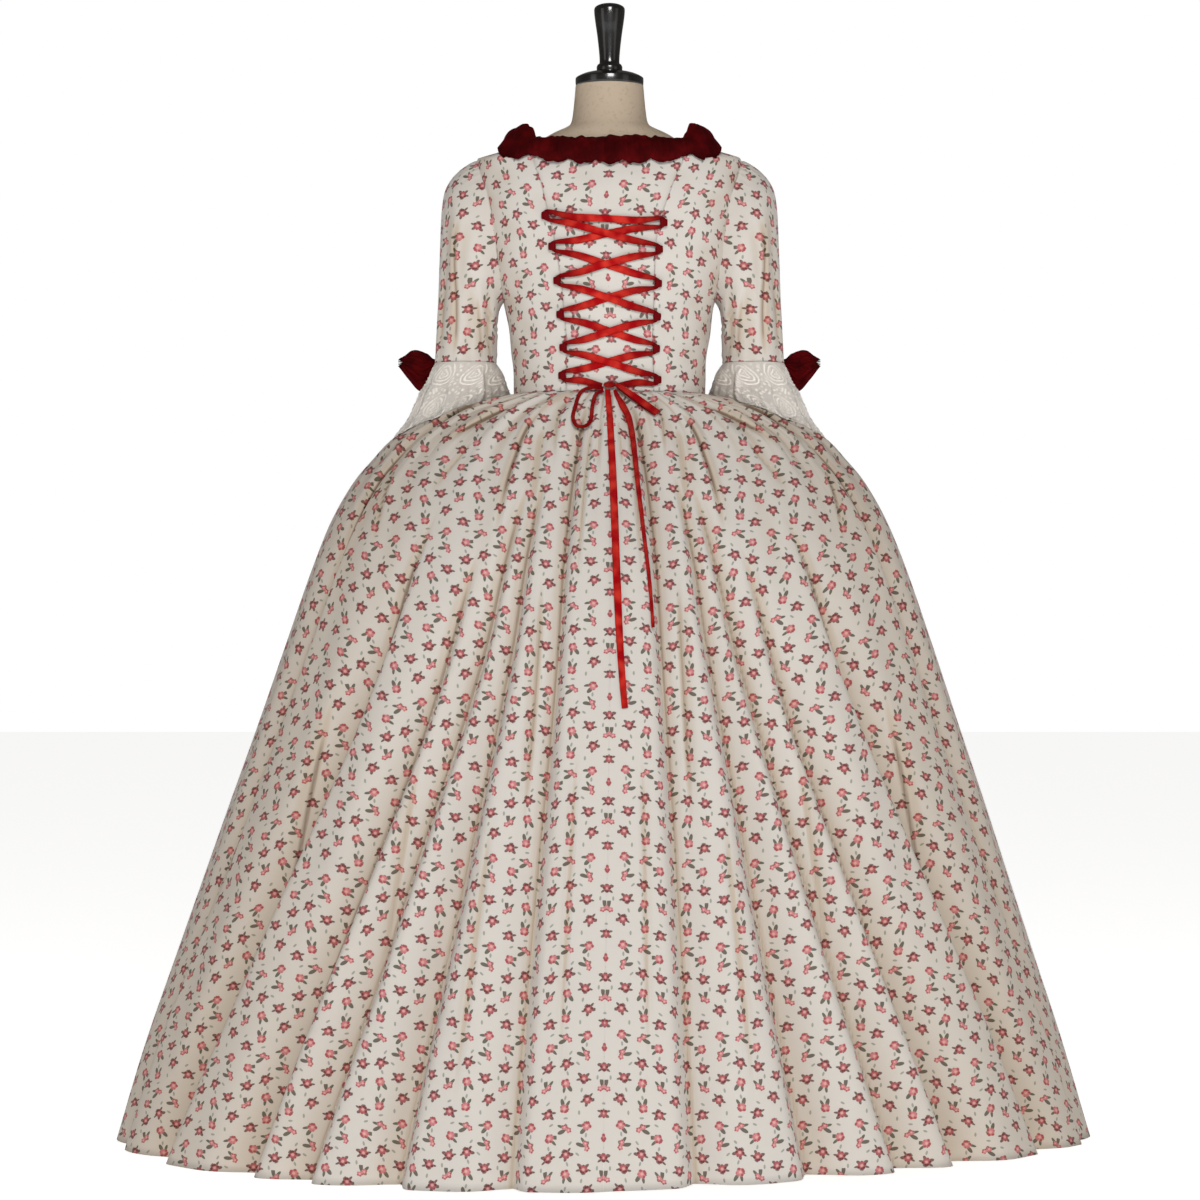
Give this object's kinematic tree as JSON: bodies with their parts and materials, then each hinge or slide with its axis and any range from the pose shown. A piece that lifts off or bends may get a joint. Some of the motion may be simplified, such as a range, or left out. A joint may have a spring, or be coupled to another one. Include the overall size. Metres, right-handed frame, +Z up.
{
  "type": "ball gown on dress form",
  "caption": "Floor-length ball gown with a laced back, elbow sleeves with lace flounces and a wide gathered skirt, on a limbless dress form with a round stand.",
  "frame": {"origin": "centre of the underside of the stand's foot, on the pole's axis, on the floor", "axes": "+Z up along the pole; the laced back of the gown faces -Y and its front faces +Y; +X is the wearer's right hand side"},
  "size_m": [1.36, 0.856, 1.5942],
  "materials": {
    "printed_cotton": "matte printed cotton",
    "burgundy_velvet": "burgundy velvet",
    "red_satin": "red satin ribbon",
    "cream_lace": "cream lace with raised roses",
    "linen_form": "beige linen cover",
    "black_lacquer": "gloss black",
    "steel": "brushed"
  },
  "bodies": {
    "root": {"bodice_back_centre": "printed_cotton", "bodice_back_left": "printed_cotton", "bodice_back_right": "printed_cotton", "bodice_front_centre": "printed_cotton", "bodice_side_front_left": "printed_cotton", "bodice_side_front_right": "printed_cotton", "bow_knot": "red_satin", "bow_loop_left": "red_satin", "bow_loop_right": "red_satin", "cuff_flounce_left": "cream_lace", "cuff_flounce_right": "cream_lace", "elbow_bow_front_left": "burgundy_velvet", "elbow_bow_front_right": "burgundy_velvet", "elbow_bow_knot_left": "burgundy_velvet", "elbow_bow_knot_right": "burgundy_velvet", "elbow_bow_outer_left": "burgundy_velvet", "elbow_bow_outer_right": "burgundy_velvet", "form_finial": "black_lacquer", "form_foot": "black_lacquer", "form_neck_cap": "black_lacquer", "form_pole": "steel", "form_torso": "linen_form", "lace_ribbon": "red_satin", "lacing_loop_left_1": "burgundy_velvet", "lacing_loop_left_2": "burgundy_velvet", "lacing_loop_left_3": "burgundy_velvet", "lacing_loop_left_4": "burgundy_velvet", "lacing_loop_left_5": "burgundy_velvet", "lacing_loop_left_6": "burgundy_velvet", "lacing_loop_right_1": "burgundy_velvet", "lacing_loop_right_2": "burgundy_velvet", "lacing_loop_right_3": "burgundy_velvet", "lacing_loop_right_4": "burgundy_velvet", "lacing_loop_right_5": "burgundy_velvet", "lacing_loop_right_6": "burgundy_velvet", "neck_ruche": "burgundy_velvet", "ribbon_tail_long": "red_satin", "ribbon_tail_short": "red_satin", "skirt_back_left": "printed_cotton", "skirt_back_right": "printed_cotton", "skirt_front_left": "printed_cotton", "skirt_front_right": "printed_cotton", "sleeve_left": "printed_cotton", "sleeve_right": "printed_cotton"}
  },
  "joints": []
}
